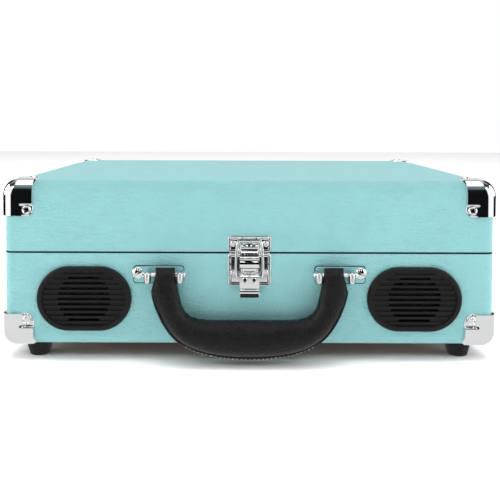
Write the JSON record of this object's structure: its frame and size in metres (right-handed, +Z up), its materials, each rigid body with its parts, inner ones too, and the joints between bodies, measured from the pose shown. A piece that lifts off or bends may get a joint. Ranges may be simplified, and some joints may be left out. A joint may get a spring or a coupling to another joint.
{
  "type": "suitcase record player",
  "caption": "Portable suitcase record player with a hinged lid, draw latch, padded carrying handle, front speakers, belt-driven platter and tonearm.",
  "frame": {"origin": "middle of the whole object's footprint, on the surface its feet stand on", "axes": "+X to the right seen from the front, front faces -Y, +Z up"},
  "size_m": [0.363, 0.2804, 0.134],
  "materials": {
    "leatherette": "pebbled vinyl leatherette, satin",
    "fibreboard": "raw fibreboard",
    "hardboard": "pressed hardboard, dark",
    "lining_cloth": "flocked black lining",
    "chrome": "polished",
    "zinc_steel": "zinc plated",
    "grille_plastic": "fine satin moulding",
    "speaker_steel": "black pressed steel",
    "paper_cone": "black paper cone",
    "handle_leather": "padded black leatherette with a stitched edge",
    "foot_rubber": "moulded black rubber",
    "belt_rubber": "flat drive belt",
    "deck_plastic": "textured black moulding",
    "black_plastic": "black moulding",
    "platter_plastic": "black moulded platter",
    "mat_felt": "black felt",
    "polished_steel": "polished nickel",
    "bush_brass": "turned brass",
    "arm_aluminium": "satin",
    "cartridge_red": "translucent red moulding",
    "adapter_plastic": "black moulded disc",
    "lamp_plastic": "diffused red lens",
    "circuit_board": "green solder mask"
  },
  "bodies": {
    "case": {"base_box": "fibreboard", "base_wrap": "leatherette", "bottom_board": "hardboard", "base_corners": "chrome", "base_corner_screws": "chrome", "base_hardware_screws": "chrome", "chassis_screws": "zinc_steel", "underside_screws": "zinc_steel", "rubber_feet": "foot_rubber", "hinge_base_leaves": "chrome", "hinge_pins": "chrome", "speaker_grille_left": "grille_plastic", "speaker_grille_right": "grille_plastic", "speaker_left": "speaker_steel", "speaker_right": "speaker_steel", "speaker_cones": "paper_cone", "handle_bracket_left": "chrome", "handle_bracket_right": "chrome", "handle_pins": "chrome", "latch_plate": "chrome", "deck_plate": "deck_plastic", "bearing_bush": "bush_brass", "motor": "zinc_steel", "drive_belt": "belt_rubber", "tonearm_base": "black_plastic", "tonearm_rest": "black_plastic", "control_pots": "deck_plastic", "indicator_led": "lamp_plastic", "audio_jacks": "black_plastic", "output_jacks": "polished_steel", "dc_jack": "black_plastic", "jack_panel": "deck_plastic", "main_board": "circuit_board"},
    "lid": {"lid_box": "fibreboard", "lid_wrap": "leatherette", "lid_lining": "lining_cloth", "lid_corners": "chrome", "lid_screws": "chrome", "hinge_lid_leaves": "chrome", "latch_keeper": "chrome"},
    "handle": {"handle_grip": "handle_leather", "handle_core": "zinc_steel"},
    "latch_lever": {"latch_lever": "chrome"},
    "latch_bail": {"latch_bail": "chrome"},
    "platter": {"platter": "platter_plastic", "slip_mat": "mat_felt", "spindle": "polished_steel"},
    "motor_pulley": {"motor_pulley": "bush_brass"},
    "tonearm_yoke": {"tonearm_yoke": "arm_aluminium"},
    "tonearm": {"tonearm_tube": "arm_aluminium", "headshell": "black_plastic", "cartridge": "cartridge_red"},
    "lift_lever": {"lift_lever": "black_plastic"},
    "lift_bar": {"lift_bar": "black_plastic"},
    "rest_clip": {"rest_clip": "black_plastic"},
    "volume_knob": {"volume_knob": "black_plastic"},
    "function_knob": {"function_knob": "black_plastic"},
    "speed_slider": {"speed_slider": "black_plastic"},
    "stop_slider": {"stop_slider": "black_plastic"},
    "adapter_45": {"adapter_45": "adapter_plastic"}
  },
  "joints": [
    {"name": "lid_hinge", "type": "hinge", "parent": "case", "child": "lid", "pos_m": [0, 0.13775, 0.08], "axis": [-1, 0, 0], "range_deg": [0, 95]},
    {"name": "handle_swing", "type": "hinge", "parent": "case", "child": "handle", "pos_m": [0, -0.12925, 0.0654], "axis": [-1, 0, 0], "range_deg": [0, 170]},
    {"name": "latch_throw", "type": "hinge", "parent": "case", "child": "latch_lever", "pos_m": [0, -0.12425, 0.076], "axis": [-1, 0, 0], "range_deg": [0, 110]},
    {"name": "bail_swing", "type": "hinge", "parent": "latch_lever", "child": "latch_bail", "pos_m": [0, -0.12425, 0.0624], "axis": [1, 0, 0], "range_deg": [0, 245]},
    {"name": "platter_spin", "type": "hinge", "parent": "case", "child": "platter", "pos_m": [-0.046, -0.01275, 0.08], "axis": [0, 0, 1], "continuous": true},
    {"name": "pulley_spin", "type": "hinge", "parent": "case", "child": "motor_pulley", "pos_m": [-0.09279, 0.04714, 0.07], "axis": [0, 0, 1], "continuous": true},
    {"name": "tonearm_swing", "type": "hinge", "parent": "case", "child": "tonearm_yoke", "pos_m": [0.118, 0.10325, 0.09], "axis": [0, 0, -1], "range_deg": [0, 42]},
    {"name": "tonearm_tilt", "type": "hinge", "parent": "tonearm_yoke", "child": "tonearm", "pos_m": [0.118, 0.10325, 0.097], "axis": [-1, 0, 0], "range_deg": [0, 6]},
    {"name": "lift_lever_turn", "type": "hinge", "parent": "case", "child": "lift_lever", "pos_m": [0.136, 0.07525, 0.08], "axis": [-1, 0, 0], "range_deg": [0, 80]},
    {"name": "lift_bar_rise", "type": "slide", "parent": "case", "child": "lift_bar", "axis": [0, 0, 1], "range_m": [0, 0.003]},
    {"name": "rest_clip_turn", "type": "hinge", "parent": "case", "child": "rest_clip", "pos_m": [0.1244, -0.03275, 0.101], "axis": [0, -1, 0], "range_deg": [0, 75]},
    {"name": "volume_turn", "type": "hinge", "parent": "case", "child": "volume_knob", "pos_m": [0.148, -0.08075, 0.08], "axis": [0, 0, -1], "range_deg": [0, 300]},
    {"name": "function_turn", "type": "hinge", "parent": "case", "child": "function_knob", "pos_m": [0.148, -0.04275, 0.08], "axis": [0, 0, -1], "range_deg": [0, 60]},
    {"name": "speed_slide", "type": "slide", "parent": "case", "child": "speed_slider", "axis": [1, 0, 0], "range_m": [-0.005, 0.005]},
    {"name": "stop_slide", "type": "slide", "parent": "case", "child": "stop_slider", "axis": [1, 0, 0], "range_m": [-0.005, 0.005]},
    {"name": "adapter_lift", "type": "slide", "parent": "case", "child": "adapter_45", "axis": [0, 0, 1], "range_m": [0, 0.02]}
  ],
  "couplings": [
    {"joint": "bail_swing", "follows": "latch_throw", "ratio": 2.2},
    {"joint": "pulley_spin", "follows": "platter_spin", "ratio": 11.4},
    {"joint": "lift_lever_turn", "follows": "tonearm_tilt", "ratio": 13.33},
    {"joint": "lift_bar_rise", "follows": "tonearm_tilt", "m_per_rad": 0.0286}
  ]
}
